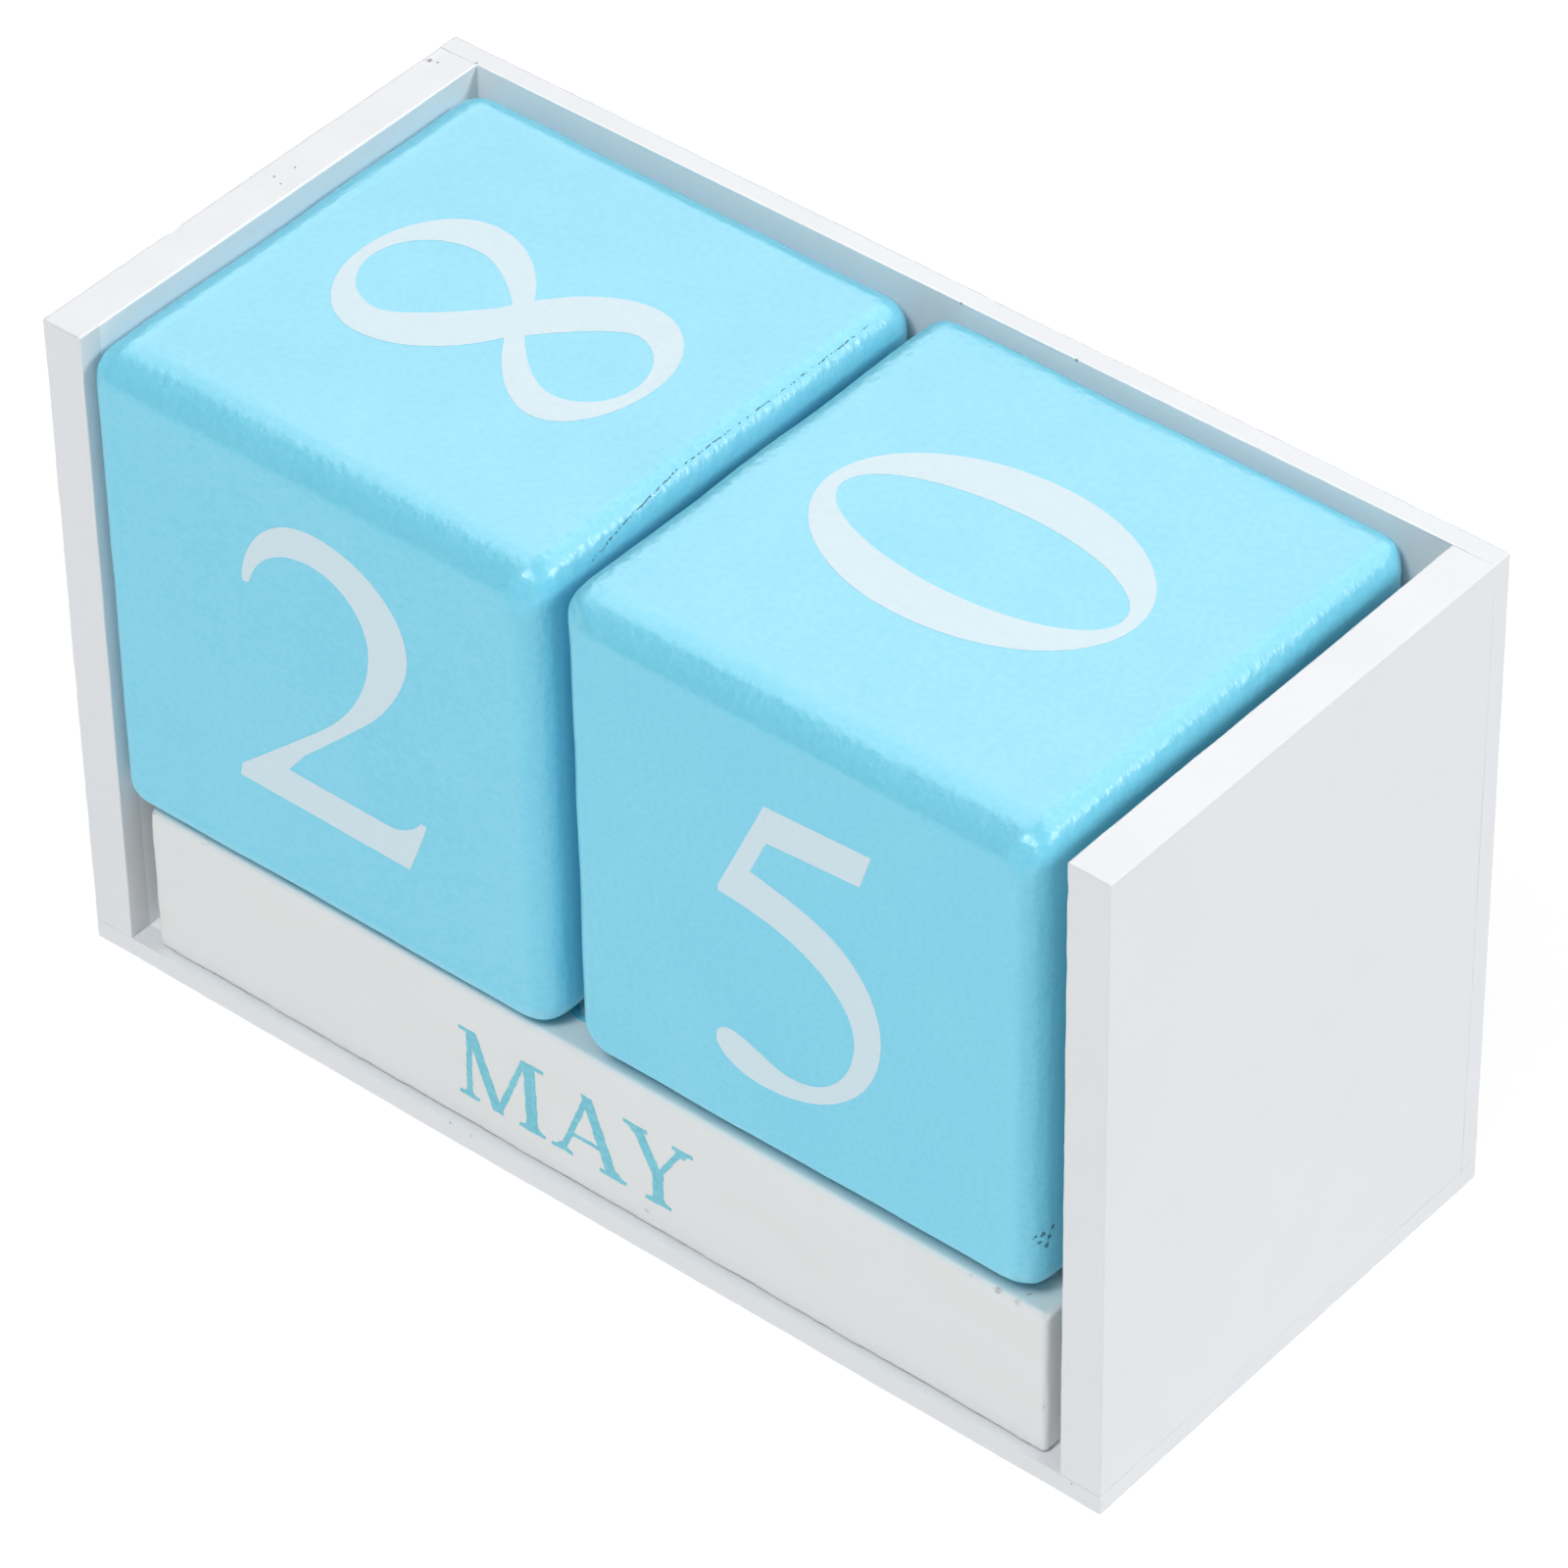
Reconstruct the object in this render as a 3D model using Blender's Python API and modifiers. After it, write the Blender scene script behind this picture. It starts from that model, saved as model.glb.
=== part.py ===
"""Perpetual block calendar: a small open tray with two number cubes on three month bars.

Frame: +X to the right as the numbers are read, +Y towards the back panel, +Z up.
The origin is the centre of the tray's underside. Everything is in metres.
"""
import bpy
import bmesh
from mathutils import Vector

MM = 0.001

# Gap kept between pieces that touch or rest on each other.
CONTACT_GAP = 0.3 * MM

# Tray: a base and a back of thin board, with two thicker sides.
TRAY_WIDTH = 113.6 * MM
TRAY_DEPTH = 52.1 * MM
TRAY_HEIGHT = 69.2 * MM
SIDE_THICKNESS = 4.3 * MM
BACK_THICKNESS = 2.1 * MM
BASE_THICKNESS = 2.1 * MM
PANEL_EDGE_WIDTH = 0.45 * MM
PANEL_EDGE_SEGMENTS = 2

# Number cubes. Their front faces are flush with the tray's front edges.
CUBE_SIZE = 49.7 * MM
CUBE_EDGE_WIDTH = 3.6 * MM
CUBE_EDGE_SEGMENTS = 5
CUBE_EDGE_PROFILE = 0.58
LEFT_CUBE_SIDE_GAP = 0.4 * MM
RIGHT_CUBE_SIDE_GAP = 3.2 * MM

# Month bars: square in section, one behind another, shorter than the tray is wide inside.
BAR_SECTION = 15.7 * MM
BAR_LENGTH = 100.2 * MM
BAR_EDGE_WIDTH = 0.9 * MM
BAR_EDGE_SEGMENTS = 3
BAR_FRONT_RECESS = 0.85 * MM
BAR_END_GAP_RIGHT = 2.2 * MM
BAR_NAMES = ("front_month_bar", "middle_month_bar", "rear_month_bar")

# Headless panel pins that hold the base and the back to the side panels.
PIN_RADIUS = 0.6 * MM
PIN_LENGTH = 9.0 * MM
PIN_SINK = 0.5 * MM
PIN_CHAMFER = 0.15 * MM
PIN_SIDES = 16
PIN_CORNER_ANGLE = 1.0
PIN_SHARP_ANGLE = 0.6
PIN_END_MARGIN = 10.0 * MM
HOLE_OVERSHOOT = 1.0 * MM

# Planes that several pieces share.
TRAY_RIGHT = TRAY_WIDTH / 2
TRAY_BACK = TRAY_DEPTH / 2
TRAY_FRONT = -TRAY_DEPTH / 2
INNER_RIGHT = TRAY_RIGHT - SIDE_THICKNESS
INNER_BACK = TRAY_BACK - BACK_THICKNESS
SIDE_FOOT = BASE_THICKNESS + CONTACT_GAP
BAR_FOOT = BASE_THICKNESS + CONTACT_GAP
CUBE_FOOT = BAR_FOOT + BAR_SECTION + CONTACT_GAP

# Paints and metal: base colour, roughness and metallic value.
WHITE_PAINT = ("white_paint", (0.86, 0.87, 0.88), 0.55, 0.0)
BLUE_PAINT = ("light_blue_paint", (0.38, 0.72, 0.82), 0.55, 0.0)
BAR_PAINT = ("bar_white_paint", (0.80, 0.81, 0.80), 0.6, 0.0)
PIN_STEEL = ("pin_steel", (0.55, 0.55, 0.56), 0.4, 1.0)


def clear_scene():
    """Remove whatever the open file holds."""
    for obj in list(bpy.data.objects):
        bpy.data.objects.remove(obj, do_unlink=True)


def new_collection(name):
    """Add a collection to the scene."""
    collection = bpy.data.collections.new(name)
    bpy.context.scene.collection.children.link(collection)
    return collection


def new_material(piece, finish):
    """A Principled material of the piece's own."""
    finish_name, colour, roughness, metallic = finish
    material = bpy.data.materials.new(f"{piece}_{finish_name}")
    material.use_nodes = True
    shader = material.node_tree.nodes["Principled BSDF"]
    shader.inputs["Base Color"].default_value = (*colour, 1.0)
    shader.inputs["Roughness"].default_value = roughness
    shader.inputs["Metallic"].default_value = metallic
    return material


def add_object(name, mesh_builder, location, collection, finish):
    """Make an object at a place from a bmesh that is built around its own origin."""
    mesh = bpy.data.meshes.new(name)
    mesh_builder.to_mesh(mesh)
    mesh_builder.free()
    obj = bpy.data.objects.new(name, mesh)
    obj.location = location
    collection.objects.link(obj)
    if finish is not None:
        mesh.materials.append(new_material(name, finish))
    return obj


def add_box(name, low, high, collection, finish):
    """A box between two corners, with its origin at its centre."""
    low, high = Vector(low), Vector(high)
    builder = bmesh.new()
    bmesh.ops.create_cube(builder, size=1.0)
    bmesh.ops.scale(builder, vec=high - low, verts=builder.verts)
    return add_object(name, builder, (low + high) / 2, collection, finish)


def round_edges(obj, width, segments, profile=0.5):
    """Round every edge of a box and shade it smooth."""
    bevel = obj.modifiers.new("rounded_edges", "BEVEL")
    bevel.width = width
    bevel.segments = segments
    bevel.profile = profile
    bevel.limit_method = "ANGLE"
    obj.data.shade_smooth()


def add_cylinder(name, radius, length, centre, axis, collection, finish):
    """A closed cylinder along an axis, with its origin at its centre."""
    builder = bmesh.new()
    turn = Vector((0, 0, 1)).rotation_difference(Vector(axis)).to_matrix().to_4x4()
    bmesh.ops.create_cone(
        builder,
        cap_ends=True,
        segments=PIN_SIDES,
        radius1=radius,
        radius2=radius,
        depth=length,
        matrix=turn,
    )
    return add_object(name, builder, centre, collection, finish)


def drill(obj, cutter):
    """Cut a hole in a panel."""
    hole = obj.modifiers.new(cutter.name, "BOOLEAN")
    hole.operation = "DIFFERENCE"
    hole.solver = "EXACT"
    hole.object = cutter


def add_panels(parts):
    """The tray: base, two sides that stand on it, and a back behind the sides."""
    side_back = INNER_BACK - CONTACT_GAP
    boxes = {
        "base_panel": (
            (-TRAY_RIGHT, TRAY_FRONT, 0),
            (TRAY_RIGHT, TRAY_BACK, BASE_THICKNESS),
        ),
        "back_panel": (
            (-TRAY_RIGHT, INNER_BACK, SIDE_FOOT),
            (TRAY_RIGHT, TRAY_BACK, TRAY_HEIGHT),
        ),
        "left_side_panel": (
            (-TRAY_RIGHT, TRAY_FRONT, SIDE_FOOT),
            (-INNER_RIGHT, side_back, TRAY_HEIGHT),
        ),
        "right_side_panel": (
            (INNER_RIGHT, TRAY_FRONT, SIDE_FOOT),
            (TRAY_RIGHT, side_back, TRAY_HEIGHT),
        ),
    }
    panels = {}
    for name, (low, high) in boxes.items():
        panels[name] = add_box(name, low, high, parts, WHITE_PAINT)
        round_edges(panels[name], PANEL_EDGE_WIDTH, PANEL_EDGE_SEGMENTS)
    return panels


def add_cubes(parts):
    """The two number cubes, each with its origin at its centre, on its line of lift."""
    left_low_x = -INNER_RIGHT + LEFT_CUBE_SIDE_GAP
    right_low_x = INNER_RIGHT - RIGHT_CUBE_SIDE_GAP - CUBE_SIZE
    for name, low_x in (("left_number_cube", left_low_x), ("right_number_cube", right_low_x)):
        low = Vector((low_x, TRAY_FRONT, CUBE_FOOT))
        high = low + Vector((CUBE_SIZE, CUBE_SIZE, CUBE_SIZE))
        cube = add_box(name, low, high, parts, BLUE_PAINT)
        round_edges(cube, CUBE_EDGE_WIDTH, CUBE_EDGE_SEGMENTS, CUBE_EDGE_PROFILE)


def add_bars(parts):
    """Three month bars, from just behind the tray's front edge to just short of its back."""
    front_y = TRAY_FRONT + BAR_FRONT_RECESS
    rear_y = INNER_BACK - CONTACT_GAP - BAR_SECTION
    pitch = (rear_y - front_y) / (len(BAR_NAMES) - 1)
    high_x = INNER_RIGHT - BAR_END_GAP_RIGHT
    for index, name in enumerate(BAR_NAMES):
        low = Vector((high_x - BAR_LENGTH, front_y + index * pitch, BAR_FOOT))
        high = low + Vector((BAR_LENGTH, BAR_SECTION, BAR_SECTION))
        bar = add_box(name, low, high, parts, BAR_PAINT)
        round_edges(bar, BAR_EDGE_WIDTH, BAR_EDGE_SEGMENTS)


def add_pin(name, entry, direction, panels, parts, cutters):
    """A pin driven in from an entry point on a face, and the hole it leaves in two panels."""
    entry, direction = Vector(entry), Vector(direction)
    pin_centre = entry + direction * (PIN_SINK + PIN_LENGTH / 2)
    pin = add_cylinder(name, PIN_RADIUS, PIN_LENGTH, pin_centre, direction, parts, PIN_STEEL)
    chamfer = pin.modifiers.new("chamfered_ends", "BEVEL")
    chamfer.width = PIN_CHAMFER
    chamfer.segments = 1
    chamfer.limit_method = "ANGLE"
    chamfer.angle_limit = PIN_CORNER_ANGLE
    pin.data.shade_smooth()
    pin.data.set_sharp_from_angle(angle=PIN_SHARP_ANGLE)

    hole_length = PIN_SINK + PIN_LENGTH + CONTACT_GAP + HOLE_OVERSHOOT
    hole_centre = entry + direction * (hole_length / 2 - HOLE_OVERSHOOT)
    hole_radius = PIN_RADIUS + CONTACT_GAP
    cutter = add_cylinder(
        f"{name}_hole", hole_radius, hole_length, hole_centre, direction, cutters, None
    )
    cutter.hide_render = True
    cutter.display_type = "WIRE"
    for panel in panels:
        drill(panel, cutter)


def spread(low, high, count):
    """Evenly spaced places from low to high."""
    return [low + (high - low) * index / (count - 1) for index in range(count)]


def add_pins(panels, parts, cutters):
    """Three pins up through the base and three through the back, at each side panel."""
    side_middle = TRAY_RIGHT - SIDE_THICKNESS / 2
    depths = spread(TRAY_FRONT + PIN_END_MARGIN, INNER_BACK - PIN_END_MARGIN, 3)
    heights = spread(SIDE_FOOT + PIN_END_MARGIN, TRAY_HEIGHT - PIN_END_MARGIN, 3)
    for side, x in (("left", -side_middle), ("right", side_middle)):
        side_panel = panels[f"{side}_side_panel"]
        for place, y in zip(("front", "middle", "rear"), depths):
            add_pin(
                f"base_pin_{side}_{place}",
                (x, y, 0),
                (0, 0, 1),
                (panels["base_panel"], side_panel),
                parts,
                cutters,
            )
        for place, z in zip(("low", "middle", "high"), heights):
            add_pin(
                f"back_pin_{side}_{place}",
                (x, TRAY_BACK, z),
                (0, -1, 0),
                (panels["back_panel"], side_panel),
                parts,
                cutters,
            )


def main():
    """Build the calendar."""
    clear_scene()
    parts = new_collection("block_calendar")
    cutters = new_collection("cutters")
    panels = add_panels(parts)
    add_cubes(parts)
    add_bars(parts)
    add_pins(panels, parts, cutters)


main()
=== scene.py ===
"""Looks of the block calendar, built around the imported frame.

The tray's panels, the two number cubes and the three month bars are remade as finely rounded,
slightly uneven painted blocks. The numerals and month names are thin films of paint on them.
Lengths are in millimetres up to the moment a mesh is made. +X is to the right, -Y is the front.
"""

import math

import bmesh
import bpy
from mathutils import Euler, Matrix, Vector, geometry, noise


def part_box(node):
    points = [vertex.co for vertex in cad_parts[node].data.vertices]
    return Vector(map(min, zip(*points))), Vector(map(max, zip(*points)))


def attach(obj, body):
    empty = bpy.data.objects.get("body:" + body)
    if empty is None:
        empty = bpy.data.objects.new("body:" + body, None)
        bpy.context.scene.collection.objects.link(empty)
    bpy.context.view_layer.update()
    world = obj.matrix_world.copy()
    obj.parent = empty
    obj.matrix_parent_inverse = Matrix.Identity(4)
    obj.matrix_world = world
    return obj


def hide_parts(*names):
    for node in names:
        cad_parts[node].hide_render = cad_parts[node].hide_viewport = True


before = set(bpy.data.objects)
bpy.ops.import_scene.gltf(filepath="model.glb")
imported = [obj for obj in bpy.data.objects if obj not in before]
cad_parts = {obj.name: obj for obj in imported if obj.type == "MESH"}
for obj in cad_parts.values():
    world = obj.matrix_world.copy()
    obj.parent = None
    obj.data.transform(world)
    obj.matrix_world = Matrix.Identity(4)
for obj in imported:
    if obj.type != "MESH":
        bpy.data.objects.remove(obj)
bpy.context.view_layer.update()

MM = 0.001
X, Y, Z = Vector((1, 0, 0)), Vector((0, 1, 0)), Vector((0, 0, 1))


def box_mm(node):
    """A CAD node's two corners, in millimetres."""
    low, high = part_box(node)
    return Vector(low) / MM, Vector(high) / MM


# ---------------------------------------------------------------- paint and materials

class Paint:
    """A Principled material, with short ways to add nodes to it. Patterns are in millimetres."""

    def __init__(self, name, roughness=0.5, specular=0.5, metallic=0.0):
        self.material = bpy.data.materials.new(name)
        self.material.use_nodes = True
        self.nodes = self.material.node_tree.nodes
        self.links = self.material.node_tree.links
        self.shader = self.nodes["Principled BSDF"]
        self.shader.inputs["Roughness"].default_value = roughness
        self.shader.inputs["Specular IOR Level"].default_value = specular
        self.shader.inputs["Metallic"].default_value = metallic
        scale = self.nodes.new("ShaderNodeVectorMath")
        scale.operation = "SCALE"
        scale.inputs["Scale"].default_value = 1 / MM
        coordinates = self.nodes.new("ShaderNodeTexCoord")
        self.links.new(coordinates.outputs["Object"], scale.inputs[0])
        self.place = scale.outputs[0]

    def feed(self, socket, value):
        """Link a socket, or set its value."""
        if isinstance(value, bpy.types.NodeSocket):
            self.links.new(value, socket)
        else:
            socket.default_value = value

    def calc(self, operation, first, second=0.0, third=0.0):
        """A Math node."""
        node = self.nodes.new("ShaderNodeMath")
        node.operation = operation
        for socket, value in zip(node.inputs, (first, second, third)):
            self.feed(socket, value)
        return node.outputs[0]

    def vector(self, operation, first, second):
        """A Vector Math node that gives a vector."""
        node = self.nodes.new("ShaderNodeVectorMath")
        node.operation = operation
        self.feed(node.inputs[0], first)
        self.feed(node.inputs[1], second)
        return node.outputs[0]

    def ramp(self, value, start, end, low=0.0, high=1.0):
        """A smooth step from low, at start, to high, at end."""
        node = self.nodes.new("ShaderNodeMapRange")
        node.interpolation_type = "SMOOTHSTEP"
        for socket, number in zip(node.inputs, (value, start, end, low, high)):
            self.feed(socket, number)
        return node.outputs[0]

    def noise(self, size, detail=2.0, stretch=(1, 1, 1), turn=(0, 0, 0)):
        """Perlin noise from 0 to 1 with grains of about one size, longer along a stretched axis."""
        mapping = self.nodes.new("ShaderNodeMapping")
        mapping.inputs["Rotation"].default_value = [math.radians(angle) for angle in turn]
        mapping.inputs["Scale"].default_value = [1 / factor for factor in stretch]
        self.links.new(self.place, mapping.inputs["Vector"])
        node = self.nodes.new("ShaderNodeTexNoise")
        node.inputs["Scale"].default_value = 1 / size
        node.inputs["Detail"].default_value = detail
        self.links.new(mapping.outputs[0], node.inputs["Vector"])
        return node.outputs["Fac"]

    def spread(self, value, middle, width):
        """A pattern value from 0 to 1, spread over a width about a middle."""
        return self.calc("MULTIPLY_ADD", value, width, middle - width / 2)

    def mix(self, factor, first, second):
        """A mix of two colours."""
        node = self.nodes.new("ShaderNodeMix")
        node.data_type = "RGBA"
        self.feed(node.inputs["Factor"], factor)
        self.feed(node.inputs["A"], first)
        self.feed(node.inputs["B"], second)
        return node.outputs["Result"]

    def axes(self, vector):
        """The x, y and z of a vector."""
        node = self.nodes.new("ShaderNodeSeparateXYZ")
        self.links.new(vector, node.inputs[0])
        return node.outputs

    def blend(self, first, second, share):
        """Two patterns added, the second with the given share."""
        first = self.calc("MULTIPLY", first, 1 - share)
        return self.calc("ADD", first, self.calc("MULTIPLY", second, share))

    def hollow(self, mask, depth, normal):
        """Bump that sinks to the depth where the mask is 1."""
        return self.bump(self.calc("SUBTRACT", 1.0, mask), depth, normal)

    def warped(self, amount, size):
        """The place, pushed about by noise."""
        wander = self.noise(size, detail=1.0)
        push = self.calc("MULTIPLY_ADD", wander, 2 * amount, -amount)
        return self.vector("ADD", self.place, push)

    def spots(self, marks, wobble=0.12):
        """1 inside any of the marks, which are (place, radius), with uneven outlines."""
        place = self.warped(wobble, size=0.4)
        total = 0.0
        for centre, radius in marks:
            node = self.nodes.new("ShaderNodeVectorMath")
            node.operation = "DISTANCE"
            self.feed(node.inputs[0], place)
            self.feed(node.inputs[1], centre)
            disc = self.ramp(node.outputs["Value"], radius, 0.5 * radius)
            total = disc if total == 0.0 else self.calc("MAXIMUM", total, disc)
        return total

    def bump(self, height, distance, normal=None):
        """Bump whose height of 1 stands the distance proud, in millimetres."""
        node = self.nodes.new("ShaderNodeBump")
        node.inputs["Distance"].default_value = distance * MM
        self.feed(node.inputs["Height"], height)
        if normal is not None:
            self.links.new(normal, node.inputs["Normal"])
        return node.outputs[0]

    def finish(self, colour, normal=None, roughness=None):
        """Set what the shader shows."""
        self.feed(self.shader.inputs["Base Color"], colour)
        if normal is not None:
            self.links.new(normal, self.shader.inputs["Normal"])
        if roughness is not None:
            self.links.new(roughness, self.shader.inputs["Roughness"])
        return self.material


def rgba(red, green, blue):
    """An opaque colour."""
    return (red, green, blue, 1.0)


TRAY_WHITE = rgba(0.80, 0.822, 0.848)
TRAY_SHADE = rgba(0.785, 0.807, 0.833)
# Painted light: the inner faces' white, lighter and bluer for the light and blue bounce that they
# get.
TRAY_INSIDE_PAINTED_LIGHT = rgba(0.93, 0.96, 0.98)
BAR_WHITE = rgba(0.805, 0.83, 0.83)
BAR_WARM = rgba(0.785, 0.795, 0.78)
# Painted shadow: the shade of a cube on a bar's top, tinted by blue light off the cube.
BAR_PAINTED_SHADOW = rgba(0.60, 0.71, 0.735)
WORN_BROWN = rgba(0.42, 0.33, 0.26)
SPECK_GREY = rgba(0.30, 0.32, 0.34)
CUBE_BLUE = rgba(0.235, 0.725, 0.925)
CUBE_BLUE_DEEP = rgba(0.185, 0.670, 0.870)
# Painted shade inside the crack and the pits.
CRACK_AND_PIT_SHADE = rgba(0.02, 0.07, 0.09)
NUMERAL_WHITE = rgba(0.655, 0.815, 0.885)
NUMERAL_SHADE = rgba(0.64, 0.80, 0.87)
MONTH_BLUE = rgba(0.20, 0.63, 0.75)
MONTH_DEEP = rgba(0.15, 0.55, 0.68)
STEEL_DARK = rgba(0.50, 0.50, 0.51)
STEEL_LIGHT = rgba(0.62, 0.62, 0.63)
FLOOR_DARK = rgba(0.27, 0.27, 0.27)
FLOOR_LIGHT = rgba(0.28, 0.28, 0.28)

# The tray's inner faces, and how far past them, and behind its front, the painted light goes.
INNER_X = 52.5
INNER_Y = 23.95
INNER_LIGHT_PAST = 0.15
INNER_LIGHT_BEHIND = 0.3
# Where the painted shadow on a bar's top starts and is whole, upwards, from the front and rear.
STRIP_HEIGHTS = (17.75, 18.05)
STRIP_FRONT = (-25.0, -24.6)
STRIP_REAR = (-21.0, -22.4)
# How strongly specks, worn spots and the painted shade of pits cover the paint.
SPECK_COVER = 0.75
WORN_COVER = 0.55
PIT_COVER = 0.75
CRACK_HALF_WIDTH = 0.045
CRACK_CORE = 0.015
CRACK_BAND = 2.0


def tray_paint(marks):
    """Sprayed white paint on board: fine grain, faint clouds, dark specks at the marks, and painted
    light that makes the inner faces lighter and bluer.
    """
    paint = Paint("tray_white_paint", roughness=0.32)
    clouds = paint.noise(size=9.0, detail=3.0)
    grain = paint.noise(size=0.45, detail=3.0)
    patches = paint.ramp(paint.blend(clouds, grain, share=0.5), 0.35, 0.65)
    colour = paint.mix(patches, TRAY_WHITE, TRAY_SHADE)
    # Painted light: inside the tray the white is lighter and bluer than outside.
    across, deep, _ = paint.axes(paint.place)
    across = paint.calc("ABSOLUTE", across)
    inside = paint.calc("LESS_THAN", across, INNER_X + INNER_LIGHT_PAST)
    for side, limit in (
        ("LESS_THAN", INNER_Y + INNER_LIGHT_PAST), ("GREATER_THAN", INNER_LIGHT_BEHIND - INNER_Y)
    ):
        inside = paint.calc("MULTIPLY", inside, paint.calc(side, deep, limit))
    colour = paint.mix(inside, colour, TRAY_INSIDE_PAINTED_LIGHT)
    specks = paint.spots(marks)
    colour = paint.mix(paint.calc("MULTIPLY", specks, SPECK_COVER), colour, SPECK_GREY)
    relief = paint.bump(grain, distance=0.010)
    relief = paint.bump(paint.noise(size=2.6), 0.02, relief)
    relief = paint.hollow(specks, 0.10, relief)
    return paint.finish(colour, relief, paint.spread(clouds, middle=0.32, width=0.10))


def bar_paint(marks):
    """Brushed white paint on a wooden bar, warm where the paint has worn off along the edges, with
    a painted shadow across the front of its top.
    """
    paint = Paint("bar_white_paint", roughness=0.5)
    grain = paint.noise(size=0.5, detail=3.0, stretch=(9, 1, 1))
    clouds = paint.noise(size=6.0, detail=3.0, stretch=(2.5, 1, 1))
    colour = paint.mix(paint.ramp(clouds, 0.38, 0.72, high=0.4), BAR_WHITE, BAR_WARM)
    _, deep, up = paint.axes(paint.place)
    # Painted shadow: a teal-grey band across the top near the front stands in for the cube's shade
    # and the blue light off it.
    painted_shadow = paint.ramp(up, *STRIP_HEIGHTS)
    for limits in (STRIP_FRONT, STRIP_REAR):
        painted_shadow = paint.calc("MULTIPLY", painted_shadow, paint.ramp(deep, *limits))
    colour = paint.mix(painted_shadow, colour, BAR_PAINTED_SHADOW)
    worn = paint.spots(marks, wobble=0.45)
    patches = paint.ramp(paint.noise(size=0.5, stretch=(1.8, 1, 1)), 0.45, 0.60)
    worn = paint.calc("MULTIPLY", worn, patches)
    colour = paint.mix(paint.calc("MULTIPLY", worn, WORN_COVER), colour, WORN_BROWN)
    relief = paint.bump(grain, distance=0.02)
    relief = paint.bump(paint.noise(size=1.4, detail=3.0), 0.035, relief)
    relief = paint.hollow(worn, 0.08, relief)
    return paint.finish(colour, relief, paint.spread(clouds, middle=0.51, width=0.20))


def cube_paint(name, centre, flat_half, cracks, marks):
    """Light blue satin paint: finely pebbled on the flats, brushed and coarser past flat_half,
    with a crack along the given runs, or pits at the marks, both filled with painted shade."""
    paint = Paint(name, roughness=0.30)
    local = paint.vector("ABSOLUTE", paint.vector("SUBTRACT", paint.place, centre), centre)
    across, deep, high = paint.axes(local)
    smaller = paint.calc("MINIMUM", across, deep)
    larger = paint.calc("MAXIMUM", across, deep)
    second = paint.calc("MAXIMUM", smaller, paint.calc("MINIMUM", larger, high))
    edge = paint.ramp(second, flat_half, flat_half + 1.0)

    clouds = paint.noise(size=14.0, detail=3.0)
    grain = paint.noise(size=0.42, stretch=(1.5, 1.5, 1))
    patches = paint.ramp(paint.blend(clouds, grain, share=0.65), 0.20, 0.80)
    colour = paint.mix(patches, CUBE_BLUE, CUBE_BLUE_DEEP)
    relief = paint.bump(paint.noise(size=1.1), distance=0.008)
    strokes = paint.noise(size=0.8, detail=3.0, stretch=(1, 1, 1.8), turn=(25, 0, 25))
    relief = paint.bump(paint.calc("MULTIPLY", strokes, edge), 0.10, relief)
    if cracks:
        hollows = crack_line(paint, cracks)
    else:
        hollows = paint.calc("MULTIPLY", paint.spots(marks, wobble=0.3), PIT_COVER)
    # Painted shade: the crack and the pits are coloured near-black teal, the shade inside them,
    # with only a bump for their depth.
    colour = paint.mix(hollows, colour, CRACK_AND_PIT_SHADE)
    relief = paint.hollow(hollows, 0.15, relief)
    return paint.finish(colour, relief, paint.spread(paint.noise(size=5.0), 0.30, 0.10))


def crack_line(paint, runs):
    """A broken hairline along straight runs over a cube's top: from (x, y), to (x, y), height."""
    east, north, up = paint.axes(paint.warped(0.10, size=1.2))
    total = 0.0
    for (start_x, start_y), (end_x, end_y), top in runs:
        lean = (end_x - start_x) / (end_y - start_y)
        along = paint.calc("SUBTRACT", north, start_y)
        line = paint.calc("MULTIPLY_ADD", along, lean, start_x)
        gap = paint.calc("ABSOLUTE", paint.calc("SUBTRACT", east, line))
        mark = paint.ramp(gap, CRACK_HALF_WIDTH, CRACK_CORE)
        for limit, side in ((max(start_y, end_y), 1.0), (min(start_y, end_y), -1.0)):
            within = paint.calc("MULTIPLY", paint.calc("SUBTRACT", limit, north), side)
            mark = paint.calc("MULTIPLY", mark, paint.calc("GREATER_THAN", within, 0.0))
        mark = paint.calc("MULTIPLY", mark, paint.calc("GREATER_THAN", up, top - CRACK_BAND))
        total = mark if total == 0.0 else paint.calc("MAXIMUM", total, mark)
    dashes = paint.ramp(paint.noise(size=0.30, detail=1.0), 0.50, 0.56)
    return paint.calc("MULTIPLY", total, dashes)


def film_paint(name, colour, shade, roughness):
    """A thin printed film of paint that takes up the grain below it."""
    paint = Paint(name, roughness=roughness)
    patches = paint.ramp(paint.noise(size=0.5, detail=3.0), 0.3, 0.7)
    tint = paint.mix(patches, colour, shade)
    relief = paint.bump(paint.noise(size=1.1), distance=0.006)
    return paint.finish(tint, relief, paint.spread(patches, roughness, width=0.06))


def pin_metal():
    """Drawn steel wire: fine scratches along it and a few dull patches."""
    paint = Paint("panel_pin_steel", roughness=0.35, metallic=1.0)
    scratches = paint.noise(size=0.12, stretch=(1, 12, 12))
    colour = paint.mix(scratches, STEEL_DARK, STEEL_LIGHT)
    relief = paint.bump(scratches, distance=0.01)
    return paint.finish(colour, relief, paint.spread(paint.noise(size=0.6), 0.38, 0.30))


# ---------------------------------------------------------------- rounded blocks

HOLDING_GAP = 0.12


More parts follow.
